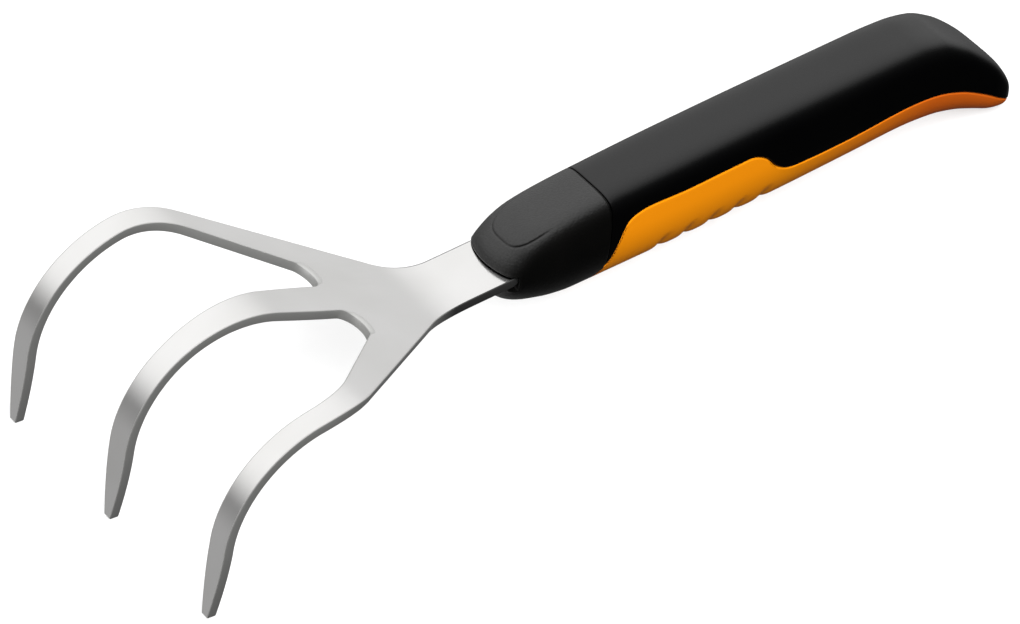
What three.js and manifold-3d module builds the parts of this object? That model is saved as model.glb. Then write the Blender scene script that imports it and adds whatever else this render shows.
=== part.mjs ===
// Hand cultivator: a one-piece steel head with three hooked tines, whose tang is pinned in a moulded handle.
// The handle is an inner core that a nose collar, an upper shell and a lower grip close around.
//
// Millimetres, +Z up. It is drawn with its origin on the tang's top face at the nose, +X towards the heel of
// the handle and the tines towards -X. The group then moves it so that its origin is under its middle, on the
// floor that the three tine tips and the heel rest on.

import * as THREE from 'three';
import { mergeVertices } from 'three/addons/utils/BufferGeometryUtils.js';
import Module from 'manifold-3d';

const wasm = await Module();
wasm.setup();

const degrees = THREE.MathUtils.degToRad;

// ---------------------------------------------------------------- driving dimensions

const WELD = 1e-4;               // corners nearer than this are one corner
const GAP = 0.3;                 // clearance between neighbouring pieces
const FLOOR = -25.7;             // height under the nose of the plane that the tips and the heel rest on
const REST_TILT = degrees(0.5);  // and the plane's rise towards the heel

// steel head: sheet thickness and bends, measured on its top face from the nose towards the tips
const SHEET = 2.7;
const CRANK = { start: 14, radius: 36, angle: degrees(24) };
const FLARE_RUN = 46;
const TINE_BEND = { radius: 32.5, angle: degrees(106.3) };
const HEAD_REACH = 162;          // flat length from the nose to past the tips, before the floor trims them

// flat outline of the head: half-widths across it
const TANG_HALF = 9.2;
const OUTER_EDGE = { from: TANG_HALF, to: 46, start: 22.2, angle: degrees(31.7), inner: 31, outer: 37 };
const SLOT_EDGE = { from: 13, to: 39.5, start: 49.5, angle: degrees(37.8), inner: 5, outer: 28 };
const SLOT_BACK = 51.7;          // where the two slots between the tines begin
const SLOT_PINCH = 11;           // the middle of a slot's back end
const SLOT_ROUND = { tine: 1.7, middle: 3.6 };
const SLOT_CORNER = [1.6, 6];    // past its back end a slot's outline curves fast, then slowly
const MIDDLE_TINE = { root: 5.4, waist: 3.6, from: 55, to: 112 };
const TAPER = { start: 137, end: 159, tipHalf: 1.15, bulge: 1.7, shift: 0.55 };

// rows of faces along each run of the head, from the tang's end to the tips
const HEAD_STEPS = { tang: 1, throat: 2, neck: 2, crank: 6, fan: 5, corner: 5, plate: 5, bend: 22, tines: 8 };

// tang, hidden in the handle
const TANG_INNER_HALF = 7.5;
const TANG_LENGTH = 72;
const TANG_NARROWS = 6;
const PIN = { radius: 2, places: [22, 56], inset: 1, sides: 24 };

// handle: [distance along it, value]
const CROWN = [
  [-2.2, 0.8], [-1.4, 2.6], [1, 4.9], [5, 7.4], [11, 9.4], [20, 10.7], [31, 11.4], [60, 12.1], [90, 12.4],
  [124, 12.4], [136, 12], [145, 10.3], [153, 5.9], [159, 0.9], [165, -5.4], [169, -11.4], [171, -15.6],
  [171.6, -18.4],
];
const BELLY = [
  [-2.2, -6.4], [-1.4, -9], [1, -11.6], [5, -14], [10, -15.9], [16, -17.8], [22, -18.8], [40, -19.1],
  [62, -19.2], [90, -18.8], [116, -17.9], [134, -17.1], [144, -17.7], [152, -19.4], [159, -22], [165, -24.4],
  [168, -24.8], [170.6, -23.6], [171.6, -21.6],
];
const BEAM = [
  [-2.2, 9.2], [-1.4, 9.8], [1, 10.1], [6, 10.3], [14, 10.5], [31, 10.6], [60, 10.9], [124, 11], [150, 11],
  [163, 10.9], [168, 10.2], [170.6, 8.6], [171.6, 6.8],
];
const WIDEST = [[-2.2, -2.5], [5, -1], [31, 0], [128, 0], [140, -1.5], [150, -5.5], [160, -12], [171.6, -20]];
const NOSE_BOW = { depth: 2.4, half: 9.5, until: 14 };   // how far the nose's front curves back at its sides
const NOSE_STATIONS = [-2.2, -1.9, -1.4, -0.4, 1, 3, 5, 8, 12, 17, 23, 31];
const GRIP_STATIONS = [
  42, 60, 80, 100, 118, 128, 134, 139, 144, 148, 152, 156, 160, 163, 166, 168.5, 170.2, 171.2, 171.6,
];
const CROWN_POWER = 4.5;         // superellipse powers of a section, above and below its widest point
const BELLY_POWER = 2.15;
const SECTION_SIDES = 32;

const WALL = 3;                  // from the handle's surface to the core
const CORE_ENDS = [10, 152];
const SEAM = 31;                 // between the nose collar and the upper shell
const MOUTH = { depth: 1.7, top: 0.35, bottom: -4.1 };

// edge of the lower grip on the handle's sides: [along, up]
const GRIP_EDGE = [
  [21, -24.5], [25.5, -19.5], [29.4, -14.6], [31.9, -9], [34.2, -2], [36.6, 2.6], [41, 4.5], [56, 4.4],
  [72, 4.7], [78, 4.5], [82.4, 2], [86.2, -2.4], [90.4, -5], [98, -5.7], [112, -5.5], [132, -4],
  [142, -4.8], [151, -7.8], [160, -13], [167, -18], [176, -24],
];
const EDGE_STEPS = 63;

// ---------------------------------------------------------------- materials

const STEEL = new THREE.MeshStandardMaterial({ color: 0xc9c8c6, roughness: 0.32, metalness: 1 });
const PIN_STEEL = new THREE.MeshStandardMaterial({ color: 0x9a9a98, roughness: 0.45, metalness: 1 });
const NOSE_BLACK = new THREE.MeshStandardMaterial({ color: 0x24231f, roughness: 0.62, metalness: 0 });
const SHELL_BLACK = new THREE.MeshStandardMaterial({ color: 0x171717, roughness: 0.5, metalness: 0 });
const CORE_GREY = new THREE.MeshStandardMaterial({ color: 0x3a3a3a, roughness: 0.7, metalness: 0 });
const GRIP_ORANGE = new THREE.MeshStandardMaterial({ color: 0xd98511, roughness: 0.6, metalness: 0 });

// ---------------------------------------------------------------- meshes and solids

function geometryOf(vertices, faces) {
  const geometry = new THREE.BufferGeometry();
  geometry.setAttribute('position', new THREE.BufferAttribute(Float32Array.from(vertices), 3));
  geometry.setIndex(new THREE.BufferAttribute(Uint32Array.from(faces), 1));
  return geometry;
}

function solidOf(geometry) {
  const bare = geometry.clone();
  bare.deleteAttribute('normal');
  bare.deleteAttribute('uv');
  const merged = mergeVertices(bare, WELD);
  const vertProperties = Float32Array.from(merged.attributes.position.array);
  const triVerts = Uint32Array.from(merged.index.array);
  return new wasm.Manifold(new wasm.Mesh({ numProp: 3, vertProperties, triVerts }));
}

function meshOf(name, solid, material) {
  const { vertProperties, triVerts } = solid.getMesh();
  const mesh = new THREE.Mesh(geometryOf(vertProperties, triVerts), material);
  mesh.name = name;
  return mesh;
}

function blockSolid(low, high) {
  const size = high.map((value, i) => value - low[i]);
  const middle = high.map((value, i) => (value + low[i]) / 2);
  return solidOf(new THREE.BoxGeometry(...size).translate(...middle));
}

// All the space over the plane that the tool rests on.
function aboveFloor() {
  const side = 4 * HEAD_REACH;
  const space = new THREE.BoxGeometry(side, side, side).translate(0, 0, side / 2);
  return solidOf(space.rotateY(-REST_TILT).translate(0, 0, FLOOR));
}

// A vertical cylinder, from one height to another.
function postSolid(x, radius, low, high) {
  const post = new THREE.CylinderGeometry(radius, radius, high - low, PIN.sides).rotateX(Math.PI / 2);
  return solidOf(post.translate(x, 0, (low + high) / 2));
}

// A curve through a few [along, value] points that never overshoots them.
function smoothThrough(points) {
  const slopes = points.slice(1).map(([x, y], i) => (y - points[i][1]) / (x - points[i][0]));
  const tangents = points.map((point, i) => {
    const before = slopes[Math.max(i - 1, 0)];
    const after = slopes[Math.min(i, slopes.length - 1)];
    return before * after <= 0 ? 0 : (2 * before * after) / (before + after);
  });
  return (x) => {
    let i = points.findIndex((point) => point[0] > x) - 1;
    if (x >= points.at(-1)[0]) i = points.length - 2;
    i = Math.max(i, 0);
    const [[x0, y0], [x1, y1]] = [points[i], points[i + 1]];
    const span = x1 - x0;
    const u = THREE.MathUtils.clamp((x - x0) / span, 0, 1);
    const rise = u * u * (3 - 2 * u);
    const leave = u * (1 - u) * (1 - u) * span * tangents[i];
    const arrive = u * u * (u - 1) * span * tangents[i + 1];
    return y0 + (y1 - y0) * rise + leave + arrive;
  };
}

// ---------------------------------------------------------------- steel head

// A half-width that runs level, climbs a straight ramp between two rounded corners, and runs level again.
function roundedRamp({ from, to, start, angle, inner, outer }) {
  const corner = Math.tan(angle / 2);
  const end = start + (to - from) / Math.tan(angle);
  const arcIn = start - inner * corner;
  const rampFrom = arcIn + inner * Math.sin(angle);
  const arcOut = end + outer * corner;
  const rampTo = arcOut - outer * Math.sin(angle);
  return (s) => {
    if (s <= arcIn) return from;
    if (s < rampFrom) return from + inner - Math.sqrt(inner ** 2 - (s - arcIn) ** 2);
    if (s <= rampTo) return from + (s - start) * Math.tan(angle);
    if (s < arcOut) return to - outer + Math.sqrt(outer ** 2 - (arcOut - s) ** 2);
    return to;
  };
}

const outerEdge = roundedRamp(OUTER_EDGE);
const slotEdge = roundedRamp(SLOT_EDGE);
const taperAt = (s) => Math.max(s - TAPER.start, 0) / (TAPER.end - TAPER.start);

// How far a slot has opened from its pinch point to its full width: a quarter of an ellipse.
function slotOpening(s, length) {
  const left = Math.max(1 - (s - SLOT_BACK) / length, 0);
  return Math.sqrt(1 - left ** 2);
}

// Narrows a tine from the start of its taper to its tip, drawing in both edges.
function tapered([low, high], s, shift) {
  const u = taperAt(s);
  const half = (high - low) / 2;
  const narrow = half - (half - TAPER.tipHalf) * u ** TAPER.bulge;
  const middle = (low + high) / 2 - shift * u;
  return [middle - narrow, middle + narrow];
}

function middleHalf(s) {
  const u = THREE.MathUtils.smoothstep(s, MIDDLE_TINE.from, MIDDLE_TINE.to);
  const full = THREE.MathUtils.lerp(MIDDLE_TINE.root, MIDDLE_TINE.waist, u);
  return SLOT_PINCH - (SLOT_PINCH - full) * slotOpening(s, SLOT_ROUND.middle);
}

function tineInner(s) {
  return SLOT_PINCH + (slotEdge(s) - SLOT_PINCH) * slotOpening(s, SLOT_ROUND.tine);
}

function tangHalf(s) {
  const u = THREE.MathUtils.smoothstep(-s, 0, TANG_NARROWS);
  return s < 0 ? THREE.MathUtils.lerp(TANG_HALF, TANG_INNER_HALF, u) : outerEdge(s);
}

// The strips of metal across the flat head at one distance from the nose, from the -Y side to the +Y side.
function stripsAt(s) {
  const outer = tangHalf(s);
  if (s <= SLOT_BACK) {
    const pinch = Math.min(SLOT_PINCH, outer / 2);
    return [[-outer, -pinch], [-pinch, pinch], [pinch, outer]];
  }
  const [low, high] = tapered([tineInner(s), outer], s, TAPER.shift);
  const middle = tapered([-middleHalf(s), middleHalf(s)], s, 0);
  return [[-high, -low], middle, [low, high]];
}

// The place and heading of the head's bent top face at a distance from the nose.
function bentAt(s) {
  const bends = [
    { length: CRANK.start, turn: 0 },
    { length: CRANK.radius * CRANK.angle, turn: CRANK.angle },
    { length: FLARE_RUN, turn: 0 },
    { length: TINE_BEND.radius * TINE_BEND.angle, turn: -TINE_BEND.angle },
    { length: Infinity, turn: 0 },
  ];
  let [x, z, heading, left] = [0, 0, 0, s];
  for (const { length, turn } of bends) {
    const run = Math.min(left, length);
    const swing = turn === 0 ? 0 : (turn * run) / length;
    const chord = swing === 0 ? run : (run * Math.sin(swing / 2)) / (swing / 2);
    x -= chord * Math.cos(heading + swing / 2);
    z += chord * Math.sin(heading + swing / 2);
    heading += swing;
    left -= run;
    if (left <= 0) break;
  }
  return { x, z, heading };
}

function headStations() {
  const crankEnd = CRANK.start + CRANK.radius * CRANK.angle;
  const bendStart = crankEnd + FLARE_RUN;
  const bendEnd = bendStart + TINE_BEND.radius * TINE_BEND.angle;
  const [fast, slow] = SLOT_CORNER.map((run) => SLOT_BACK + run);
  const runs = [
    [-TANG_LENGTH, -TANG_NARROWS, HEAD_STEPS.tang],
    [-TANG_NARROWS, 0, HEAD_STEPS.throat],
    [0, CRANK.start, HEAD_STEPS.neck],
    [CRANK.start, crankEnd, HEAD_STEPS.crank],
    [crankEnd, SLOT_BACK, HEAD_STEPS.fan],
    [SLOT_BACK, fast, HEAD_STEPS.corner],
    [fast, slow, HEAD_STEPS.corner],
    [slow, bendStart, HEAD_STEPS.plate],
    [bendStart, bendEnd, HEAD_STEPS.bend],
    [bendEnd, HEAD_REACH, HEAD_STEPS.tines],
  ];
  const stations = runs.flatMap(([from, to, steps]) =>
    Array.from({ length: steps }, (_, i) => from + ((to - from) * i) / steps));
  return [...stations, HEAD_REACH];
}

// Walls the head in: top and bottom of every strip, the edges beside free space, and the ends.
function headGeometry() {
  const vertices = [];
  const faces = [];
  const quad = (a, b, c, d) => faces.push(a, b, c, a, c, d);
  const pairAt = (s, y) => {
    const { x, z, heading } = bentAt(s);
    const down = [-SHEET * Math.sin(heading), -SHEET * Math.cos(heading)];
    vertices.push(x, y, z, x + down[0], y, z + down[1]);
    return vertices.length / 3 - 2;
  };
  const rows = headStations().map((s) => ({
    s, strips: stripsAt(s).map((strip) => strip.map((y) => pairAt(s, y))),
  }));
  rows.slice(1).forEach((row, i) => {
    const back = rows[i];
    row.strips.forEach(([low, high], strip) => {
      const [backLow, backHigh] = back.strips[strip];
      quad(low, backLow, backHigh, high);
      quad(low + 1, high + 1, backHigh + 1, backLow + 1);
      const open = back.s >= SLOT_BACK;
      if (open || strip === 0) quad(low, low + 1, backLow + 1, backLow);
      if (open || strip === 2) quad(high, backHigh, backHigh + 1, high + 1);
    });
  });
  for (const [low, high] of rows[0].strips) quad(low, low + 1, high + 1, high);
  for (const [low, high] of rows.at(-1).strips) quad(low, high, high + 1, low + 1);
  return geometryOf(vertices, faces);
}

function makeTineHead() {
  let head = solidOf(headGeometry()).intersect(aboveFloor());
  for (const x of PIN.places) head = head.subtract(postSolid(x, PIN.radius + GAP, -2 * SHEET, SHEET));
  return meshOf('tine_head', head, STEEL);
}

// ---------------------------------------------------------------- handle

const crownAt = smoothThrough(CROWN);
const bellyAt = smoothThrough(BELLY);
const beamAt = smoothThrough(BEAM);
const widestAt = smoothThrough(WIDEST);

// One cross-section: a superellipse with a fuller top than bottom, drawn in by an inset.
function sectionAt(x, inset) {
  const middle = widestAt(x);
  const half = beamAt(x) - inset;
  const up = crownAt(x) - inset - middle;
  const down = middle - bellyAt(x) - inset;
  const bow = NOSE_BOW.depth * (1 - THREE.MathUtils.smoothstep(x, CROWN[0][0], NOSE_BOW.until));
  return Array.from({ length: SECTION_SIDES }, (_, i) => {
    const angle = (2 * Math.PI * i) / SECTION_SIDES;
    const [c, s] = [Math.cos(angle), Math.sin(angle)];
    const power = 2 / (s >= 0 ? CROWN_POWER : BELLY_POWER);
    const y = half * Math.sign(c) * Math.abs(c) ** power;
    const z = middle + (s >= 0 ? up : -down) * Math.abs(s) ** power;
    return [x + bow * (y / NOSE_BOW.half) ** 2, y, z];
  });
}

// A closed body through the handle's sections, drawn in by an inset.
function handleSolid(stations, inset) {
  const rings = stations.map((x) => sectionAt(x, inset));
  const vertices = rings.flat(2);
  const faces = [];
  const n = SECTION_SIDES;
  for (let ring = 0; ring + 1 < rings.length; ring += 1) {
    for (let side = 0; side < n; side += 1) {
      const a = ring * n + side;
      const b = ring * n + ((side + 1) % n);
      faces.push(a, b, b + n, a, b + n, a + n);
    }
  }
  const lastRing = (rings.length - 1) * n;
  for (let side = 1; side + 1 < n; side += 1) {
    faces.push(0, side + 1, side, lastRing, lastRing + side, lastRing + side + 1);
  }
  return solidOf(geometryOf(vertices, faces));
}

function coreSolid(clearance) {
  const [front, back] = [CORE_ENDS[0] - clearance, CORE_ENDS[1] + clearance];
  const between = [...NOSE_STATIONS, ...GRIP_STATIONS].filter((x) => x > front && x < back);
  return handleSolid([front, ...between, back], WALL - clearance);
}

// The room that the tang takes, with a clearance all round it.
function tangRoom() {
  const half = TANG_INNER_HALF + GAP;
  const bed = blockSolid([TANG_NARROWS - GAP, -half, -SHEET - GAP], [TANG_LENGTH + GAP, half, GAP]);
  const throatHalf = TANG_HALF + GAP;
  return bed.add(blockSolid([-TANG_NARROWS, -throatHalf, -SHEET - GAP], [TANG_NARROWS, throatHalf, GAP]));
}

// Everything under the grip's edge, moved out by a distance along the edge's normal.
function gripZone(outwards) {
  const points = GRIP_EDGE.map(([x, z]) => new THREE.Vector3(x, z, 0));
  const curve = new THREE.CatmullRomCurve3(points, false, 'centripetal');
  const edge = curve.getPoints(EDGE_STEPS).map((point, i, all) => {
    const [before, after] = [all[Math.max(i - 1, 0)], all[Math.min(i + 1, all.length - 1)]];
    const along = new THREE.Vector3().subVectors(after, before);
    const normal = new THREE.Vector3(-along.y, along.x, 0).normalize();
    return point.clone().addScaledVector(normal, outwards);
  });
  const outline = new THREE.Shape(edge.map(({ x, y }) => new THREE.Vector2(x, y)));
  outline.lineTo(edge.at(-1).x, 2 * FLOOR);
  outline.lineTo(edge[0].x, 2 * FLOOR);
  const depth = 4 * BEAM[0][1];
  const zone = new THREE.ExtrudeGeometry(outline, { depth, bevelEnabled: false, steps: 1 });
  return solidOf(zone.translate(0, 0, -depth / 2).rotateX(Math.PI / 2));
}

function makeHandle() {
  const far = 2 * HEAD_REACH;
  const ahead = blockSolid([-far, -far, -far], [SEAM - GAP / 2, far, far]);
  const behind = blockSolid([SEAM + GAP / 2, -far, -far], [far, far, far]);
  const mouth = blockSolid([-far, -far, MOUTH.bottom], [MOUTH.depth, far, MOUTH.top]);

  const skin = handleSolid([...NOSE_STATIONS, ...GRIP_STATIONS], 0).intersect(aboveFloor());
  const walls = skin.subtract(coreSolid(GAP));
  const overGrip = walls.subtract(gripZone(GAP / 2));

  const collar = overGrip.intersect(ahead).subtract(mouth).subtract(tangRoom());
  const shell = overGrip.intersect(behind);
  const grip = walls.intersect(gripZone(-GAP / 2));
  let core = coreSolid(0).subtract(tangRoom());
  for (const x of PIN.places) core = core.subtract(postSolid(x, PIN.radius + GAP, -far, far));

  return [
    meshOf('nose_collar', collar, NOSE_BLACK),
    meshOf('upper_shell', shell, SHELL_BLACK),
    meshOf('lower_grip', grip, GRIP_ORANGE),
    meshOf('handle_core', core, CORE_GREY),
  ];
}

function makePins() {
  const names = ['tang_pin_front', 'tang_pin_rear'];
  return PIN.places.map((x, i) => {
    const reach = WALL + PIN.inset;
    const pin = postSolid(x, PIN.radius, bellyAt(x) + reach, crownAt(x) - reach);
    return meshOf(names[i], pin, PIN_STEEL);
  });
}

// ---------------------------------------------------------------- assembly

const tool = new THREE.Group();
tool.add(makeTineHead(), ...makeHandle(), ...makePins());
tool.rotation.y = REST_TILT;

const cultivator = new THREE.Group();
cultivator.add(tool);

const box = new THREE.Box3().setFromObject(cultivator, true);
cultivator.position.set(-(box.min.x + box.max.x) / 2, -(box.min.y + box.max.y) / 2, -box.min.z);

export default cultivator;
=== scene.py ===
"""Hand cultivator: a polished steel head with three hooked tines in a black and orange moulded handle.

The shapes are drawn as the CAD model draws them, in millimetres, with the origin on the tang's top face
at the nose, +X towards the heel of the handle, the tines towards -X and +Z up. TO_FRAME then puts them
in the frame.
"""

import math

import bmesh
import bpy
import numpy as np
from mathutils import Matrix, Vector


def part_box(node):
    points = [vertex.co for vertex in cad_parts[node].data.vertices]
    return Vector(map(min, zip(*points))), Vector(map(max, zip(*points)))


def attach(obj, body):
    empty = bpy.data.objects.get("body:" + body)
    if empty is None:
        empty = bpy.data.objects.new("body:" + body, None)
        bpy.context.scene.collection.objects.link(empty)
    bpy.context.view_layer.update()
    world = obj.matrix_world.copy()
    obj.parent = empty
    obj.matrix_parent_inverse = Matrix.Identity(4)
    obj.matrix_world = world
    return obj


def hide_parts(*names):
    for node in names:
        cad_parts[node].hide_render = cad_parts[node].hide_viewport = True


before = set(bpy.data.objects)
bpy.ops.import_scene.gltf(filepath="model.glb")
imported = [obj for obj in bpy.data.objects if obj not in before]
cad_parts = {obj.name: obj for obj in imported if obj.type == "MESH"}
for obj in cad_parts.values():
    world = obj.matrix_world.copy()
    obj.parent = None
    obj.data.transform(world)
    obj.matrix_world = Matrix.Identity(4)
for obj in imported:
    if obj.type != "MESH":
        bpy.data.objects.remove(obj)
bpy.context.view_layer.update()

# ---------------------------------------------------------------- dimensions, in millimetres

MM = 0.001
WELD = 2e-7                  # metres within which grid points are one point
GAP = 0.3                    # clearance between neighbouring pieces
REST_TILT = math.radians(0.5)

# steel head: sheet thickness and bends, measured on its top face from the nose towards the tips
SHEET = 2.7
CRANK_START = 14
CRANK_RADIUS, CRANK_ANGLE = 36, math.radians(24)
FLARE_RUN = 46
BEND_RADIUS, BEND_ANGLE = 32.5, math.radians(106.3)
TIP_AT = 158.35              # flat distance from the nose to the square-cut tips

# flat outline of the head: half-widths across it
TANG_HALF = 9.2
OUTER_EDGE = dict(low=TANG_HALF, high=46, start=22.2, angle=math.radians(31.7), inner=31, outer=37)
SLOT_EDGE = dict(low=13, high=39.5, start=49.5, angle=math.radians(37.8), inner=5, outer=28)
SLOT_BACK = 51.7             # where the two slots between the tines begin
SLOT_PINCH = 11              # the middle of a slot's back end
TINE_ROUND, MIDDLE_ROUND = 1.7, 3.6
MIDDLE_ROOT, MIDDLE_WAIST, WAIST_FROM, WAIST_TO = 5.4, 3.6, 55, 112
TAPER_START, TAPER_END, TIP_HALF, TAPER_BULGE, TAPER_SHIFT = 137, 159, 1.15, 1.7, 0.55

# tang, hidden in the handle
TANG_INNER_HALF = 7.5
TANG_LENGTH = 72
TANG_NARROWS = 6
PIN_RADIUS, PIN_PLACES = 2, (22, 56)

# rounding of the head's edges
EDGE_ROUND = 0.25
UNDER_ROUND = 0.3
TIP_ROUND = 0.35
SUPPORT = 0.12                      # flat strip kept beside each rounding, so that the faces shade flat
ROUND_STEPS = 5
TOP_COLUMNS = 9
TANG_ROWS, THROAT_ROWS, PLATE_ROWS, SLOT_ROWS, TINE_ROWS = 12, 6, 49, 13, 110
TINE_ROWS_AFTER = 0.6               # from the round of a slot's back to the first row past it
POLISHED, SHEARED = 0, 1            # material slots of the head
ROWS_SQUARE_FROM = 70               # past the slots' backs, where a row lies at one station
SLOT_ROLL, SLOT_DROP = 1.5, 0.5     # the rolled-down lip at the back of a slot
SLOT_LIP_FROM, SLOT_LIP_FULL = 0.65, 0.98   # how squarely an edge faces the tips as the lip starts, is full

# handle: (distance along it, value)
CROWN = (
    (-2.2, 0.8), (-1.4, 2.6), (1, 4.9), (5, 7.4), (11, 9.4), (20, 10.7), (31, 11.4), (60, 12.1), (90, 12.4),
    (124, 12.4), (136, 12), (145, 10.3), (153, 5.9), (159, 0.9), (165, -5.4), (169, -11.4), (171, -15.6),
    (171.6, -18.4),
)
BELLY = (
    (-2.2, -6.4), (-1.4, -9), (1, -11.6), (5, -14), (10, -15.9), (16, -17.8), (22, -18.8), (40, -19.1),
    (62, -19.2), (90, -18.8), (116, -17.9), (134, -17.1), (144, -17.7), (152, -19.4), (159, -22),
    (165, -24.4), (168, -24.8), (170.6, -23.6), (171.6, -21.6),
)
BEAM = (
    (-2.2, 9.2), (-1.4, 9.8), (1, 10.1), (6, 10.3), (14, 10.5), (31, 10.6), (60, 10.9), (124, 11), (150, 11),
    (163, 10.9), (168, 10.2), (170.6, 8.6), (171.6, 6.8),
)
WIDEST = ((-2.2, -2.5), (5, -1), (31, 0), (128, 0), (140, -1.5), (150, -5.5), (160, -12), (171.6, -20))
NOSE_BOW, BOW_HALF, BOW_UNTIL = 2.4, 9.5, 14    # how far the nose's front curves back at its sides
CROWN_POWER, BELLY_POWER = 4.5, 2.15            # superellipse powers above and below the widest point
WALL = 3                                        # from the handle's surface to its core
SEAM = 31                                       # between the nose collar and the upper shell
NOSE_END, HEEL_END = CROWN[0][0], CROWN[-1][0]
INNER_DEPTH = WALL - GAP
SOLID_FROM = (147, 152)                         # where the mouldings close in behind the core
SEAM_ROUND = 0.3
EDGE_OPENS = 0.6                                # height over the belly where the tongue has its full seam

# how finely the handle is drawn: columns round a section, and runs of sections as (from, to, count)
ARC_COLUMNS, NOSE_COLUMNS, INNER_COLUMNS = 150, 400, 40
NOSE_RUNS = ((NOSE_END, -1, 16), (-0.85, 16, 112))
NOSE_RUNS_END = 16.5
SHELL_RUN = (SEAM + GAP / 2, 144, 170)
GRIP_RUN = (34.4, 144, 280)
HEEL_RUNS = ((144.4, 170, 60), (170.1, HEEL_END, 14))
TONGUE_UNTIL = 34
TONGUE_CROWDING = 1.6                           # how much closer the sections are at the tongue's front
EDGE_POINTS = 900

# the nose's raised top panel, the groove round its front and the rim of the mouth
PANEL_BACK, PANEL_LONG, PANEL_HALF, PANEL_POWER = 14, 11.5, 7.4, 3.2
PANEL_RISE, PANEL_FADES = 0.14, (9, 15)
GROOVE_DEEP, GROOVE_WIDE = 0.22, 0.25
MOUTH_DEEP, MOUTH_TOP, MOUTH_LOW = 1.7, 0.35, -4.1
MOUTH_ROUND, THROAT_ROUND = 0.4, 0.1
RIM_RISE, RIM_OUT, RIM_WIDE, RIM_FADES = 0.16, 0.35, 0.22, 1.4
CUT_REACH = 20               # past the nose's front and sides

# finger grooves across the underside of the grip
GRIP_GROOVES = (51, 59.5, 68, 76.5, 85)
GRIP_GROOVE_DEEP, GRIP_GROOVE_WIDE, GROOVES_UNDER = 0.7, 1.6, (8, 14)

# edge of the lower grip on the handle's sides: (along, up)
GRIP_EDGE = (
    (21, -24.5), (25.5, -19.5), (29.4, -14.6), (31.9, -9), (34.2, -2), (36.6, 2.6), (41, 4.5), (56, 4.4),
    (72, 4.7), (78, 4.5), (82.4, 2), (86.2, -2.4), (90.4, -5), (98, -5.7), (112, -5.5), (132, -4),
    (142, -4.8), (151, -7.8), (160, -13), (167, -18), (176, -24),
)

# colour: metres along the frame's X between which the orange darkens towards the heel, as painted shade, and
# the sheared steel darkens towards the nose, as a painted dark reflection
GRIP_PAINTED_SHADE = (0.0, 0.18)
EDGE_PAINTED_REFLECTION = (-0.07, -0.03)
GRAIN_LOW, GRAIN_HIGH = 0.3, 0.7    # the share of a noise's range that a colour or a roughness drifts over

# camera: its lens and its sensor's width, and its axes and place in the drawing
CAMERA_LENS, CAMERA_SENSOR, CAMERA_SEES = 217.5424, 36, 10
CAMERA_AXES = ((0.7947, -0.605, 0.0505), (0.3793, 0.5598, 0.7367), (-0.4739, -0.5663, 0.6743))
CAMERA_PLACE = (-750.2, -905.3, 1056.1)

# studio: brightness against the sine of the elevation, towards the tines and towards the heel
TINE_SIDE_STUDIO = (
    (-1, 0.3), (-0.3, 0.36), (-0.02, 0.22), (0.14, 0.24), (0.4, 0.84), (0.65, 0.92), (1, 0.92),
)
HEEL_SIDE_STUDIO = (
    (-1, 0.1), (-0.3, 0.12), (-0.08, 0.4), (0.02, 0.62), (0.15, 0.6), (0.35, 0.72), (0.65, 0.9), (1, 0.92),
)
STUDIO_STRENGTH = 1.6
SIDES_MEET = (-0.5, 0.6)            # X of the directions over which one side's studio turns into the other's
FRONT_MEETS_BACK = (-0.25, 0.3)     # Y of the directions over which the dark front turns into the lit back
CEILING_MEETS_FRONT = (0.75, 0.98)  # Z of the directions over which the dark front turns into the lit ceiling
FRONT_GROUND = 0.03
SOFTBOX_PLACE, SOFTBOX_SIZE, SOFTBOX_POWER = (-0.3, -0.8, 1.0), (0.7, 0.7), 27
FLOOR_SIZE, FLOOR_LIT, FLOOR_GLOW = 6, 0.4, 0.6

# ---------------------------------------------------------------- curves


def smoothstep(x, low, high):
    """0 under low, 1 over high, and an S-curve between."""
    u = np.clip((x - low) / (high - low), 0, 1)
    return u * u * (3 - 2 * u)


def smooth_through(points):
    """A curve through a few (along, value) points that never overshoots them."""
    xs, ys = np.array(points, float).T
    slopes = np.diff(ys) / np.diff(xs)
    before = np.concatenate([slopes[:1], slopes])
    after = np.concatenate([slopes, slopes[-1:]])
    same = before * after > 0
    tangents = np.where(same, 2 * before * after / np.where(same, before + after, 1), 0)

    def value(x):
        x = np.asarray(x, float)
        i = np.clip(np.searchsorted(xs, x, side="right") - 1, 0, len(xs) - 2)
        span = xs[i + 1] - xs[i]
        u = np.clip((x - xs[i]) / span, 0, 1)
        rise = u * u * (3 - 2 * u)
        leave = u * (1 - u) ** 2 * span * tangents[i]
        arrive = u * u * (u - 1) * span * tangents[i + 1]
        return ys[i] + (ys[i + 1] - ys[i]) * rise + leave + arrive

    return value


def rounded_ramp(low, high, start, angle, inner, outer):
    """A half-width that runs level, climbs a straight ramp between rounded corners, and runs level again."""
    corner = math.tan(angle / 2)
    end = start + (high - low) / math.tan(angle)
    arc_in, arc_out = start - inner * corner, end + outer * corner
    ramp_from, ramp_to = arc_in + inner * math.sin(angle), arc_out - outer * math.sin(angle)

    def value(s):
        if s <= arc_in:
            return low
        if s < ramp_from:
            return low + inner - math.sqrt(inner**2 - (s - arc_in) ** 2)
        if s <= ramp_to:
            return low + (s - start) * math.tan(angle)
        if s < arc_out:
            return high - outer + math.sqrt(outer**2 - (arc_out - s) ** 2)
        return high

    return value


def spread(*runs):
    """Places in order, from runs of (start, end, count)."""
    return [place for run in runs for place in np.linspace(*run)]


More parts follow.
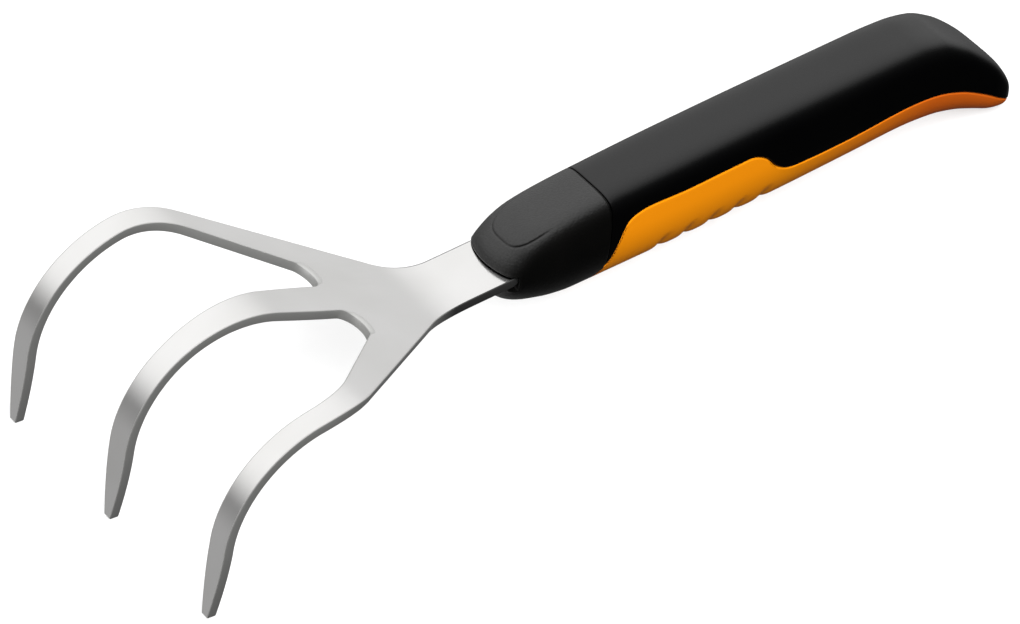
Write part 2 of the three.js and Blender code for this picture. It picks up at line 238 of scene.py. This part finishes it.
def catmull_rom(points, steps):
    """A centripetal Catmull-Rom curve through points, as an array of steps + 1 places."""
    p = np.array(points, float)
    p = np.vstack([2 * p[0] - p[1], p, 2 * p[-1] - p[-2]])
    knots = np.concatenate([[0], np.cumsum(np.linalg.norm(np.diff(p, axis=0), axis=1) ** 0.5)])
    blends = (((0, 1), (1, 2), (2, 3)), ((0, 2), (1, 3)), ((1, 2),))
    places = []
    for t in np.linspace(knots[1], knots[-2], steps + 1):
        i = int(np.clip(np.searchsorted(knots, t, side="right") - 1, 1, len(p) - 3))
        near, k = p[i - 1 : i + 3], knots[i - 1 : i + 3]
        for spans in blends:
            near = [
                ((k[b] - t) * near[j] + (t - k[a]) * near[j + 1]) / (k[b] - k[a])
                for j, (a, b) in enumerate(spans)
            ]
        places.append(near[0])
    return np.array(places)


# ---------------------------------------------------------------- meshes

# The pins' middles are known both in the frame and in the drawing, which gives the drawing's place.
crown_at, belly_at = smooth_through(CROWN), smooth_through(BELLY)
beam_at, widest_at = smooth_through(BEAM), smooth_through(WIDEST)
pin_low, pin_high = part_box("tang_pin_front")
pin_drawn = Vector((PIN_PLACES[0], 0, float(crown_at(PIN_PLACES[0]) + belly_at(PIN_PLACES[0])) / 2)) * MM
TO_FRAME = (
    Matrix.Translation((pin_low + pin_high) / 2)
    @ Matrix.Rotation(REST_TILT, 4, "Y")
    @ Matrix.Translation(-pin_drawn)
)


def placed(points):
    """Drawn points, in millimetres, as points of the frame, in metres."""
    turn = np.array(TO_FRAME)
    return (np.asarray(points, float).reshape(-1, 3) * MM) @ turn[:3, :3].T + turn[:3, 3]


class Sheets:
    """Grids of drawn points that meet along their edges, gathered for one piece."""

    def __init__(self):
        self.points, self.faces, self.kinds, self.count = [], [], [], 0

    def add(self, grid, kind=0):
        """grid is rows x columns x 3, and kind is the material slot."""
        grid = np.asarray(grid, float)
        rows, columns = grid.shape[:2]
        ids = self.count + np.arange(rows * columns).reshape(rows, columns)
        quads = np.stack([ids[:-1, :-1], ids[1:, :-1], ids[1:, 1:], ids[:-1, 1:]], -1).reshape(-1, 4)
        self.points.append(grid.reshape(-1, 3))
        self.faces.append(quads)
        self.kinds.append(np.full(len(quads), kind))
        self.count += rows * columns

    def build(self, name, materials):
        """The piece: grids welded where they touch, open ends capped, faces pointing out."""
        mesh = bpy.data.meshes.new(name)
        faces = np.concatenate(self.faces).tolist()
        mesh.from_pydata(placed(np.concatenate(self.points)).tolist(), [], faces)
        mesh.polygons.foreach_set("material_index", np.concatenate(self.kinds))
        bm = bmesh.new()
        bm.from_mesh(mesh)
        bmesh.ops.remove_doubles(bm, verts=bm.verts, dist=WELD)
        bmesh.ops.dissolve_degenerate(bm, edges=bm.edges, dist=WELD)
        for face in bm.faces:
            face.smooth = True
        rims = [edge for edge in bm.edges if edge.is_boundary]
        for face in bmesh.ops.holes_fill(bm, edges=rims, sides=0)["faces"]:
            face.smooth = False
        bmesh.ops.recalc_face_normals(bm, faces=bm.faces)
        bm.to_mesh(mesh)
        bm.free()
        for material in materials:
            mesh.materials.append(material)
        piece = bpy.data.objects.new(name, mesh)
        bpy.context.scene.collection.objects.link(piece)
        return piece


# ---------------------------------------------------------------- steel head

outer_edge, slot_edge = rounded_ramp(**OUTER_EDGE), rounded_ramp(**SLOT_EDGE)


def opening(s, length):
    """How far a slot has opened from its pinch point to its full width: a quarter of an ellipse."""
    left = max(1 - (s - SLOT_BACK) / length, 0)
    return math.sqrt(max(1 - left * left, 0))


def tapered(low, high, s, shift):
    """Narrows a tine from the start of its taper to its tip, drawing in both edges."""
    u = max(s - TAPER_START, 0) / (TAPER_END - TAPER_START)
    half, middle = (high - low) / 2, (low + high) / 2 - shift * u
    half -= (half - TIP_HALF) * u**TAPER_BULGE
    return middle - half, middle + half


def side_tine(s):
    """Lower and higher y of the tine on the +Y side, or of the plate beside the slot's pinch point."""
    if s < 0:
        outer = TANG_HALF + (TANG_INNER_HALF - TANG_HALF) * float(smoothstep(-s, 0, TANG_NARROWS))
    else:
        outer = outer_edge(s)
    if s <= SLOT_BACK:
        return min(SLOT_PINCH, outer / 2), outer
    inner = SLOT_PINCH + (slot_edge(s) - SLOT_PINCH) * opening(s, TINE_ROUND)
    return tapered(inner, outer, s, TAPER_SHIFT)


def middle_tine(s):
    if s <= SLOT_BACK:
        half = side_tine(s)[0]
    else:
        full = MIDDLE_ROOT + (MIDDLE_WAIST - MIDDLE_ROOT) * float(smoothstep(s, WAIST_FROM, WAIST_TO))
        half = SLOT_PINCH - (SLOT_PINCH - full) * opening(s, MIDDLE_ROUND)
    return tapered(-half, half, s, 0)


def bent(s, y, depth):
    """Where a point of the flat head lies once it is bent; depth is under the top face."""
    x, z, heading, left = 0.0, 0.0, 0.0, s
    bends = (
        (CRANK_START, 0), (CRANK_RADIUS * CRANK_ANGLE, CRANK_ANGLE), (FLARE_RUN, 0),
        (BEND_RADIUS * BEND_ANGLE, -BEND_ANGLE), (math.inf, 0),
    )
    for length, turn in bends:
        run = min(left, length)
        swing = turn * run / length if turn else 0.0
        chord = run * math.sin(swing / 2) / (swing / 2) if swing else run
        x -= chord * math.cos(heading + swing / 2)
        z += chord * math.sin(heading + swing / 2)
        heading += swing
        left -= run
        if left <= 0:
            break
    return x - depth * math.sin(heading), y, z - depth * math.cos(heading)


def into_metal(strip, side, s):
    """Unit (s, y) direction from a strip's lower (side 0) or higher (side 1) edge into the metal."""
    step = 1e-4
    if abs(s - SLOT_BACK) < step and not (strip is side_tine and side == 1):
        return -1.0, 0.0
    slope = (strip(s + step)[side] - strip(s - step)[side]) / (2 * step)
    sign = (1, -1)[side] / math.hypot(1, slope)
    return -slope * sign, sign


def edge_round(strip, side, s, inset):
    """The (s, y, depth) points round a strip's edge, from its top face to its underside."""
    to_s, to_y = into_metal(strip, side, s)
    y = strip(s)[side]
    lip = float(smoothstep(-to_s, SLOT_LIP_FROM, SLOT_LIP_FULL))
    roll, drop = EDGE_ROUND + (SLOT_ROLL - EDGE_ROUND) * lip, EDGE_ROUND + (SLOT_DROP - EDGE_ROUND) * lip
    turns = np.linspace(0, math.pi / 2, ROUND_STEPS)
    top = [(roll * (1 - math.sin(a)), drop * (1 - math.cos(a))) for a in turns]
    turns = turns[::-1]
    under = [(UNDER_ROUND * (1 - math.sin(a)), SHEET - UNDER_ROUND * (1 - math.cos(a))) for a in turns]
    profile = [(roll + SUPPORT, 0), *top, *under, (UNDER_ROUND + SUPPORT, SHEET)]
    squeeze = 1 - 2 * inset / SHEET
    return [(s + to_s * d, y + to_y * (d + inset), inset + w * squeeze) for d, w in profile]


def strip_stations(strip):
    """Flat distances at which a strip is measured: close together round the slot's back."""
    length = MIDDLE_ROUND if strip is middle_tine else TINE_ROUND
    tang = ((-TANG_LENGTH, -TANG_NARROWS, TANG_ROWS), (1 - TANG_NARROWS, 0, THROAT_ROWS))
    plate = (1, SLOT_BACK - SLOT_ROLL - 1, PLATE_ROWS)
    swing = [SLOT_BACK + length * (1 - math.cos(a)) for a in np.linspace(0, math.pi / 2, SLOT_ROWS)]
    tine = (swing[-1] + TINE_ROWS_AFTER, TIP_AT - TIP_ROUND, TINE_ROWS)
    return spread(*tang, plate) + swing + spread(tine)


def head_strip(sheets, strip, mirror):
    """Adds a tine and its share of the plate; only the sides that face free space get an edge."""
    rows = [(s, 0) for s in strip_stations(strip)]
    turns = np.linspace(0, math.pi / 2, ROUND_STEPS)[1:]
    rows += [(TIP_AT - TIP_ROUND * (1 - math.sin(a)), TIP_ROUND * (1 - math.cos(a))) for a in turns]
    tops, unders, edges = [], [], ([], [])
    across = np.linspace(0, 1, TOP_COLUMNS)[:, None]
    for s, inset in rows:
        low = np.array(edge_round(strip, 0, s, inset))
        # round the slot's back, a row starts nearer the nose than its station, and its other end goes with it
        beside = low[0][0] if strip is side_tine and SLOT_BACK <= s < ROWS_SQUARE_FROM else s
        high = np.array(edge_round(strip, 1, beside, inset))
        if s < SLOT_BACK:   # the plate runs on to the next strip
            low[:] = (s, strip(s)[0], 0)
            low[-1, 2] = SHEET
            if strip is middle_tine:
                high[:] = (s, strip(s)[1], 0)
                high[-1, 2] = SHEET
        for points, start, end in ((tops, low[0], high[0]), (unders, low[-1], high[-1])):
            points.append(start + (end - start) * across)
        free = (s >= SLOT_BACK, s >= SLOT_BACK or strip is side_tine)
        for side, points in enumerate((low, high)):
            if free[side]:
                edges[side].append(points)
    kinds = (POLISHED, POLISHED, SHEARED, SHEARED)
    for kind, flat in zip(kinds, (tops, unders, *edges)):
        sheets.add([[bent(s, mirror * y, w) for s, y, w in row] for row in flat], kind)


def make_head(materials):
    sheets = Sheets()
    for strip, mirror in ((side_tine, 1), (middle_tine, 1), (side_tine, -1)):
        head_strip(sheets, strip, mirror)
    head = sheets.build("steel_head", materials)
    reach = PIN_RADIUS + GAP
    for x in PIN_PLACES:
        cut_box(head, (x - reach, -reach, -3 * SHEET), (x + reach, reach, 2 * SHEET), PIN_RADIUS)
    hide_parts("tine_head")
    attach(head, "root")


# ---------------------------------------------------------------- handle surface


def skin_field(points):
    """Under 0 inside the handle and over 0 outside, near its surface."""
    x, y, z = np.moveaxis(np.asarray(points, float), -1, 0)
    x = x - bow_at(x) * (y / BOW_HALF) ** 2
    middle = widest_at(x)
    above = z >= middle
    tall = np.where(above, crown_at(x) - middle, middle - belly_at(x))
    power = np.where(above, CROWN_POWER, BELLY_POWER)
    return (np.abs(y / beam_at(x)) ** power + np.abs((z - middle) / tall) ** power) ** (1 / power) - 1


def bow_at(x):
    return NOSE_BOW * (1 - smoothstep(x, NOSE_END, BOW_UNTIL))


def skin_normal(points):
    step = 1e-3
    points = np.asarray(points, float)
    axes = np.eye(3) * step
    slope = np.stack([skin_field(points + a) - skin_field(points - a) for a in axes], -1)
    return slope / np.linalg.norm(slope, axis=-1, keepdims=True)


def skin_at(x, turn):
    """The surface's point at a distance along the handle and an angle round it, from +Y up over the crown."""
    x, turn = np.broadcast_arrays(np.asarray(x, float), np.asarray(turn, float))
    c, s = np.cos(turn), np.sin(turn)
    middle = widest_at(x)
    tall = np.where(s >= 0, crown_at(x) - middle, middle - belly_at(x))
    power = np.where(s >= 0, CROWN_POWER, BELLY_POWER)
    reach = (np.abs(c / beam_at(x)) ** power + np.abs(s / tall) ** power) ** (-1 / power)
    y = reach * c
    return np.stack([x + bow_at(x) * (y / BOW_HALF) ** 2, y, middle + reach * s], -1)


grip_curve = catmull_rom(GRIP_EDGE, EDGE_POINTS)


def grip_edge_at(x):
    """Height of the grip's edge."""
    return np.interp(x, *grip_curve.T)


def side_turn(x, z):
    """The angle round the handle, on its +Y side, at which its surface passes a height."""
    middle = widest_at(x)
    above = z >= middle
    tall = np.where(above, crown_at(x) - middle, middle - belly_at(x))
    power = np.where(above, CROWN_POWER, BELLY_POWER)
    part = np.clip(np.abs((z - middle) / tall), 0, 1)
    y = beam_at(x) * (1 - part**power) ** (1 / power)
    return np.arctan2(z - middle, y)


# ---------------------------------------------------------------- handle pieces


def grip_front():
    """Where the grip's tongue starts under the nose: its edge passes the belly there."""
    low, high = GRIP_EDGE[0][0], GRIP_EDGE[2][0]
    for _ in range(40):
        x = (low + high) / 2
        low, high = (x, high) if grip_edge_at(x) < belly_at(x) else (low, x)
    return high


TONGUE = grip_front()
quarter_turn = np.linspace(0, math.pi / 2, ROUND_STEPS)


def edge_path(x, up, profile, depth):
    """Points on the +Y side from the grip's edge into a piece; profile is (distance from the edge, inset)."""
    step = 0.05
    slope = (grip_edge_at(x + step) - grip_edge_at(x - step)) / (2 * step)
    away = np.array([-slope, 1]) / math.hypot(1, slope) * (1 if up else -1)
    opened = float(smoothstep(grip_edge_at(x) - belly_at(x), 0, EDGE_OPENS))
    path = []
    for d, inset in profile:
        along, height = np.array([x, grip_edge_at(x)]) + away * (GAP / 2 + d) * opened
        on_skin = skin_at(along, side_turn(along, height))
        path.append(on_skin - skin_normal(on_skin) * (inset * opened + depth))
    return np.array(path)


def section_turns(x, up, distance, count):
    """Angles round a section from a distance inside one edge of a piece to the same on its other side."""
    y, z = edge_path(x, up, [(distance, 0)], 0)[0][1:]
    start = math.atan2(z - widest_at(x), y)
    if start > math.pi / 2 - 1e-3 or grip_edge_at(x) <= belly_at(x):
        start = -math.pi / 2
    end = math.pi - start if up else -math.pi - start
    return np.linspace(start, end, count)[1:-1]


def outer_row(x, up, depth, detail, columns):
    """One cross-section of a piece's outside, from its +Y edge to its -Y edge."""
    profile = [(SEAM_ROUND * (1 - math.sin(a)), SEAM_ROUND * (1 - math.cos(a))) for a in quarter_turn[::-1]]
    edge = edge_path(x, up, profile, depth)
    skin = skin_at(x, section_turns(x, up, SEAM_ROUND, columns))
    skin = skin + skin_normal(skin) * (detail(skin)[:, None] - depth)
    return np.vstack([edge, skin, edge[::-1] * (1, -1, 1)])


def inner_row(x, up):
    """The matching section of its inside: an arch round the core, or flat where the piece is solid."""
    rim = edge_path(x, up, [(0, 0)], INNER_DEPTH)[0]
    skin = skin_at(x, section_turns(x, up, 0, INNER_COLUMNS))
    arch = np.vstack([rim, skin - skin_normal(skin) * INNER_DEPTH, rim * (1, -1, 1)])
    flat = rim + (rim * (1, -1, 1) - rim) * np.linspace(0, 1, INNER_COLUMNS)[:, None]
    return arch + (flat - arch) * float(smoothstep(x, *SOLID_FROM))


def folded(row, x):
    """A section flattened to the line across its middle, which closes an end."""
    return np.stack([row[:, 0], row[:, 1], np.full(len(row), float(widest_at(x)))], -1)


def handle_piece(name, stations, up, detail, columns, materials, front_wall=None):
    """A closed moulding between stations of (x, inset). A front wall closes its front end, that thick."""
    sheets = Sheets()
    outside = [outer_row(x, up, depth, detail, columns) for x, depth in stations]
    first = stations[0][0]
    inside_from = first if front_wall is None else first + front_wall
    inside = {x: inner_row(x, up) for x, _ in stations if x >= inside_from}
    inner = list(inside.values())
    flange = [[row[0], inside[x][0]] for row, (x, _) in zip(outside, stations) if x >= TONGUE]
    if front_wall is not None:
        outside.insert(0, folded(outside[0], first))
        inner.insert(0, folded(inner[0], first))
    sheets.add(outside)
    sheets.add(inner)
    sheets.add(flange)
    sheets.add(np.array(flange) * (1, -1, 1))
    return sheets.build(name, materials)


def rounded_stations(places, front=False, back=False):
    """(x, inset) at each place, with the ends that meet a seam rounded over."""
    rows = [(x, 0) for x in places]
    curl = [(SEAM_ROUND * (1 - math.sin(a)), SEAM_ROUND * (1 - math.cos(a))) for a in quarter_turn]
    if front:
        rows = [(places[0] + d, inset) for d, inset in curl[::-1]] + rows[1:]
    if back:
        rows = rows[:-1] + [(places[-1] - d, inset) for d, inset in curl]
    return rows


def no_detail(points):
    return np.zeros(len(points))


def nose_detail(points):
    """Height of the nose's raised top panel, the groove round its front, and the rim of the mouth."""
    x, y, z = points.T
    reach = (np.abs(x - PANEL_BACK) / PANEL_LONG) ** PANEL_POWER + (np.abs(y) / PANEL_HALF) ** PANEL_POWER
    reach = np.maximum(reach, 1e-6) ** (1 / PANEL_POWER)
    outside = (1 - 1 / reach) * np.hypot(x - PANEL_BACK, y)
    fade = (1 - smoothstep(x, *PANEL_FADES)) * (z > widest_at(x))
    panel = PANEL_RISE * smoothstep(-outside, -GROOVE_WIDE, GROOVE_WIDE)
    panel -= GROOVE_DEEP * np.exp(-((outside / GROOVE_WIDE) ** 2))
    beside = np.hypot(np.maximum(x - MOUTH_DEEP, 0), np.maximum(np.maximum(z - MOUTH_TOP, MOUTH_LOW - z), 0))
    rim = RIM_RISE * np.exp(-(((beside - RIM_OUT) / RIM_WIDE) ** 2)) * (1 - smoothstep(z, 0, RIM_FADES))
    return panel * fade + rim


def grip_detail(points):
    """Depth of the finger grooves across the underside of the grip's wing."""
    x, y, z = points.T
    under = smoothstep(-z, *GROOVES_UNDER)
    wave = sum(np.exp(-(((x - place) / GRIP_GROOVE_WIDE) ** 2)) for place in GRIP_GROOVES)
    return -GRIP_GROOVE_DEEP * wave * under


def cut_box(piece, low, high, corner):
    """Cuts a box with rounded edges, drawn from its low corner to its high one, out of a piece."""
    bm = bmesh.new()
    bmesh.ops.create_cube(bm, size=1)
    low, high = Vector(low), Vector(high)
    for vertex in bm.verts:
        vertex.co = Vector(l + (h - l) * (c + 0.5) for l, h, c in zip(low, high, vertex.co))
    bmesh.ops.bevel(bm, geom=bm.edges[:], offset=corner, segments=4, profile=0.5, affect="EDGES")
    for vertex in bm.verts:
        vertex.co = TO_FRAME @ (vertex.co * MM)
    mesh = bpy.data.meshes.new("cutter")
    bm.to_mesh(mesh)
    bm.free()
    cutter = bpy.data.objects.new("cutter", mesh)
    bpy.context.scene.collection.objects.link(cutter)
    cut = piece.modifiers.new("cut", "BOOLEAN")
    cut.operation, cut.solver, cut.object = "DIFFERENCE", "EXACT", cutter
    with bpy.context.temp_override(object=piece, active_object=piece):
        bpy.ops.object.modifier_apply(modifier="cut")
    bpy.data.objects.remove(cutter)
    bpy.data.meshes.remove(mesh)


def past_tongue(end, count):
    """Places from the tongue's front to an end, closer together at first."""
    return [*(TONGUE + (end - TONGUE) * np.linspace(0, 1, count) ** TONGUE_CROWDING)]


def make_collar(materials):
    places = spread(*NOSE_RUNS, (NOSE_RUNS_END, TONGUE - 0.4, 10)) + past_tongue(SEAM - GAP / 2, 30)
    stations = rounded_stations(places, back=True)
    collar = handle_piece("nose_moulding", stations, True, nose_detail, NOSE_COLUMNS, materials, WALL)
    half = TANG_HALF + GAP
    cut_box(collar, (-CUT_REACH, -CUT_REACH, MOUTH_LOW), (MOUTH_DEEP, CUT_REACH, MOUTH_TOP), MOUTH_ROUND)
    cut_box(collar, (-CUT_REACH, -half, -SHEET - GAP), (2 * WALL, half, GAP), THROAT_ROUND)
    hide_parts("nose_collar")
    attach(collar, "root")


def make_shell(materials):
    stations = rounded_stations(spread(SHELL_RUN, *HEEL_RUNS), front=True)
    shell = handle_piece("black_shell", stations, True, no_detail, ARC_COLUMNS, materials)
    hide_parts("upper_shell")
    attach(shell, "root")


def make_grip(materials):
    stations = rounded_stations(past_tongue(TONGUE_UNTIL, 40) + spread(GRIP_RUN, *HEEL_RUNS))
    grip = handle_piece("orange_grip", stations, False, grip_detail, ARC_COLUMNS, materials)
    for vertex in grip.data.vertices:       # the heel's small flat
        vertex.co.z = max(vertex.co.z, 0)
    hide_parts("lower_grip")
    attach(grip, "root")


# ---------------------------------------------------------------- materials


def plain(name, colour, metallic, roughness):
    material = bpy.data.materials.new(name)
    material.use_nodes = True
    shader = material.node_tree.nodes["Principled BSDF"]
    shader.inputs["Base Color"].default_value = (*colour, 1)
    shader.inputs["Metallic"].default_value = metallic
    shader.inputs["Roughness"].default_value = roughness
    return material


def noise(nodes, links, scale, stretch=(1, 1, 1), detail=2):
    """Noise over a piece, in metres: scale is grains per metre, and stretch its share along each axis."""
    place, shape, grain = (nodes.new("ShaderNode" + kind) for kind in ("TexCoord", "Mapping", "TexNoise"))
    shape.inputs["Scale"].default_value = stretch
    grain.inputs["Scale"].default_value = scale
    grain.inputs["Detail"].default_value = detail
    links.new(place.outputs["Object"], shape.inputs["Vector"])
    links.new(shape.outputs["Vector"], grain.inputs["Vector"])
    return grain.outputs["Fac"]


def between(nodes, links, fac, low, high):
    """Two colours or two numbers mixed by a noise or a ramp."""
    blend = nodes.new("ShaderNodeMix")
    colour = isinstance(low, tuple)
    blend.data_type = "RGBA" if colour else "FLOAT"
    reach = nodes.new("ShaderNodeMapRange")
    reach.inputs["From Min"].default_value = GRAIN_LOW
    reach.inputs["From Max"].default_value = GRAIN_HIGH
    links.new(fac, reach.inputs["Value"])
    links.new(reach.outputs["Result"], blend.inputs["Factor"])
    sockets = [socket for socket in blend.inputs if socket.type == ("RGBA" if colour else "VALUE")]
    one, two = sockets[-2:]
    one.default_value = (*low, 1) if colour else low
    two.default_value = (*high, 1) if colour else high
    return next(o for o in blend.outputs if o.type == ("RGBA" if colour else "VALUE"))


def bumped(nodes, links, shader, height, strength, distance):
    bump = nodes.new("ShaderNodeBump")
    bump.inputs["Strength"].default_value = strength
    bump.inputs["Distance"].default_value = distance
    links.new(height, bump.inputs["Height"])
    links.new(bump.outputs["Normal"], shader.inputs["Normal"])


def ramp_along(nodes, links, start, end):
    """A ramp from 0 to 1 between two places along the frame's X."""
    place, split, ramp = (nodes.new("ShaderNode" + kind) for kind in ("TexCoord", "SeparateXYZ", "MapRange"))
    ramp.interpolation_type = "SMOOTHSTEP"
    ramp.inputs["From Min"].default_value = start
    ramp.inputs["From Max"].default_value = end
    links.new(place.outputs["Object"], split.inputs[0])
    links.new(split.outputs["X"], ramp.inputs["Value"])
    return ramp.outputs["Result"]


def patterned(name, colours, metallic, roughness, blotch, grain, bump, specular=0.5, painted_light_span=None):
    """A material whose colour and roughness vary over blotches and whose surface has a fine grain.

    blotch and grain are noise settings, and bump is (strength, height in metres). With a painted_light_span,
    (start, end), the colour changes along the frame's X instead: painted shade on the grip, a painted dark
    reflection on the sheared steel.
    """
    material = plain(name, colours[0], metallic, roughness[0])
    nodes, links = material.node_tree.nodes, material.node_tree.links
    shader = nodes["Principled BSDF"]
    shader.inputs["Specular IOR Level"].default_value = specular
    wide, fine = noise(nodes, links, **blotch), noise(nodes, links, **grain)
    # along the frame's X the colour is painted light, not the material's own colour
    blotches_or_painted_light = ramp_along(nodes, links, *painted_light_span) if painted_light_span else wide
    links.new(between(nodes, links, blotches_or_painted_light, *colours), shader.inputs["Base Color"])
    links.new(between(nodes, links, fine, *roughness), shader.inputs["Roughness"])
    bumped(nodes, links, shader, fine, *bump)
    return material


STEEL = patterned(
    "polished steel", ((0.6, 0.595, 0.585), (0.64, 0.635, 0.63)), 1, (0.11, 0.17),
    dict(scale=45), dict(scale=700, stretch=(0.12, 1, 0.4)), (0.02, 0.00005),
)
# the sheared edge's dark second colour is a painted dark reflection over the tang's walls near the nose
STEEL_EDGE = patterned(
    "sheared steel edge", ((0.42, 0.42, 0.41), (0.07, 0.07, 0.069)), 0.65, (0.3, 0.45),
    dict(scale=1400, stretch=(1, 1, 0.06)), dict(scale=2400, stretch=(1, 1, 0.05)), (0.2, 0.00008),
    painted_light_span=EDGE_PAINTED_REFLECTION,
)
# the nose's black is lighter than the shell's: partly its own grainier nylon, partly painted light on the
# collar's top, with the shell's darker black as painted shade on its sides
NOSE = patterned(
    "textured nylon", ((0.0014, 0.0014, 0.0013), (0.0024, 0.0023, 0.0021)), 0, (0.4, 0.5),
    dict(scale=60), dict(scale=1900, detail=3), (0.6, 0.00018), specular=0.7,
)
SHELL = patterned(
    "satin nylon", ((0.0005, 0.0005, 0.0006), (0.0008, 0.0008, 0.0008)), 0, (0.35, 0.41),
    dict(scale=40), dict(scale=2600, detail=3), (0.25, 0.00012), specular=0.4,
)
# the orange's second, darker and redder colour is painted shade over the grip's rear towards the heel
ORANGE = patterned(
    "orange rubber", ((0.86, 0.27, 0.004), (0.64, 0.12, 0.008)), 0, (0.5, 0.58),
    dict(scale=50), dict(scale=3000, detail=3), (0.15, 0.0001),
    specular=0.12, painted_light_span=GRIP_PAINTED_SHADE,
)
CORE = patterned(
    "glass-filled nylon", ((0.03, 0.03, 0.03), (0.045, 0.045, 0.044)), 0, (0.55, 0.7),
    dict(scale=80), dict(scale=1500, detail=4), (0.3, 0.0002),
)
PIN = patterned(
    "turned steel", ((0.42, 0.42, 0.41), (0.52, 0.52, 0.51)), 1, (0.3, 0.42),
    dict(scale=200), dict(scale=2500, stretch=(0.1, 0.1, 1)), (0.1, 0.00005),
)

for node, material in (("handle_core", CORE), ("tang_pin_front", PIN), ("tang_pin_rear", PIN)):
    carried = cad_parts[node]
    for slot in carried.material_slots:
        slot.material = material
    if not carried.material_slots:
        carried.data.materials.append(material)
make_head([STEEL, STEEL_EDGE])
make_collar([NOSE])
make_shell([SHELL])
make_grip([ORANGE])

# ---------------------------------------------------------------- camera, floor and lights


def make_camera():
    data = bpy.data.cameras.new("camera")
    data.sensor_width = CAMERA_SENSOR
    data.lens = CAMERA_LENS
    camera = bpy.data.objects.new("camera", data)
    right, up, back = (Vector(axis) for axis in CAMERA_AXES)
    turn = TO_FRAME.to_3x3() @ Matrix((right, up, back)).transposed()
    camera.matrix_world = Matrix.Translation(TO_FRAME @ (Vector(CAMERA_PLACE) * MM)) @ turn.to_4x4()
    data.clip_end = CAMERA_SEES
    bpy.context.scene.collection.objects.link(camera)
    bpy.context.scene.camera = camera


def make_floor():
    bpy.ops.mesh.primitive_plane_add(size=FLOOR_SIZE)
    floor = bpy.context.object
    floor.name = "floor"
    pale = plain("pale floor", (FLOOR_LIT,) * 3, 0, 1)
    shader = pale.node_tree.nodes["Principled BSDF"]
    shader.inputs["Specular IOR Level"].default_value = 0
    shader.inputs["Emission Color"].default_value = (1, 1, 1, 1)
    shader.inputs["Emission Strength"].default_value = FLOOR_GLOW
    floor.data.materials.append(pale)
    floor.visible_glossy = False    # the steel and the plastic mirror the studio's dark lower half instead
    floor.visible_diffuse = False


def area_light(name, place, size, power):
    data = bpy.data.lights.new(name, "AREA")
    data.shape = "RECTANGLE"
    data.size, data.size_y = size
    data.energy = power
    lamp = bpy.data.objects.new(name, data)
    lamp.location = place
    lamp.visible_glossy = False     # it lights the orange without a streak on the black
    lamp.rotation_euler = (-Vector(place)).to_track_quat("-Z", "Y").to_euler()
    bpy.context.scene.collection.objects.link(lamp)


def height_ramp(nodes, stops):
    """Brightness against height: stops are (sine of the elevation, brightness)."""
    ramp = nodes.new("ShaderNodeValToRGB")
    ramp.color_ramp.interpolation = "B_SPLINE"
    points = ramp.color_ramp.elements
    while len(points) < len(stops):
        points.new(0.5)
    for point, (sine, level) in zip(points, stops):
        point.position = (sine + 1) / 2
        point.color = (level, level, level, 1)
    return ramp


def make_world():
    """A bright ceiling, a dim ground, a horizon that is dark towards the tines, and a dark front."""
    world = bpy.data.worlds.new("studio")
    world.use_nodes = True
    nodes, links = world.node_tree.nodes, world.node_tree.links
    direction, split = nodes.new("ShaderNodeTexCoord"), nodes.new("ShaderNodeSeparateXYZ")
    links.new(direction.outputs["Generated"], split.inputs[0])

    def ranged(source, low, high, to_low=0, to_high=1):
        node = nodes.new("ShaderNodeMapRange")
        node.interpolation_type = "SMOOTHSTEP"
        for name, value in zip(("From Min", "From Max", "To Min", "To Max"), (low, high, to_low, to_high)):
            node.inputs[name].default_value = value
        links.new(source, node.inputs["Value"])
        return node.outputs["Result"]

    def combined(operation, one, two):
        node = nodes.new("ShaderNodeMath")
        node.operation = operation
        links.new(one, node.inputs[0])
        links.new(two, node.inputs[1])
        return node.outputs[0]

    height = nodes.new("ShaderNodeMapRange")
    height.inputs["From Min"].default_value = -1
    links.new(split.outputs["Z"], height.inputs["Value"])
    levels = []
    for stops in (TINE_SIDE_STUDIO, HEEL_SIDE_STUDIO):
        ramp = height_ramp(nodes, stops)
        links.new(height.outputs["Result"], ramp.inputs["Fac"])
        levels.append(ramp.outputs["Color"])
    sides = nodes.new("ShaderNodeMix")
    links.new(ranged(split.outputs["X"], *SIDES_MEET), sides.inputs["Factor"])
    links.new(levels[0], sides.inputs["A"])
    links.new(levels[1], sides.inputs["B"])
    behind = ranged(split.outputs["Y"], *FRONT_MEETS_BACK, FRONT_GROUND, 1)
    above = ranged(split.outputs["Z"], *CEILING_MEETS_FRONT)
    shade = combined("MAXIMUM", behind, above)
    background = nodes["Background"]
    links.new(combined("MULTIPLY", sides.outputs["Result"], shade), background.inputs["Color"])
    background.inputs["Strength"].default_value = STUDIO_STRENGTH
    bpy.context.scene.world = world


make_camera()
make_floor()
make_world()
area_light("front softbox", SOFTBOX_PLACE, SOFTBOX_SIZE, SOFTBOX_POWER)
bpy.context.scene.view_settings.view_transform = "Standard"
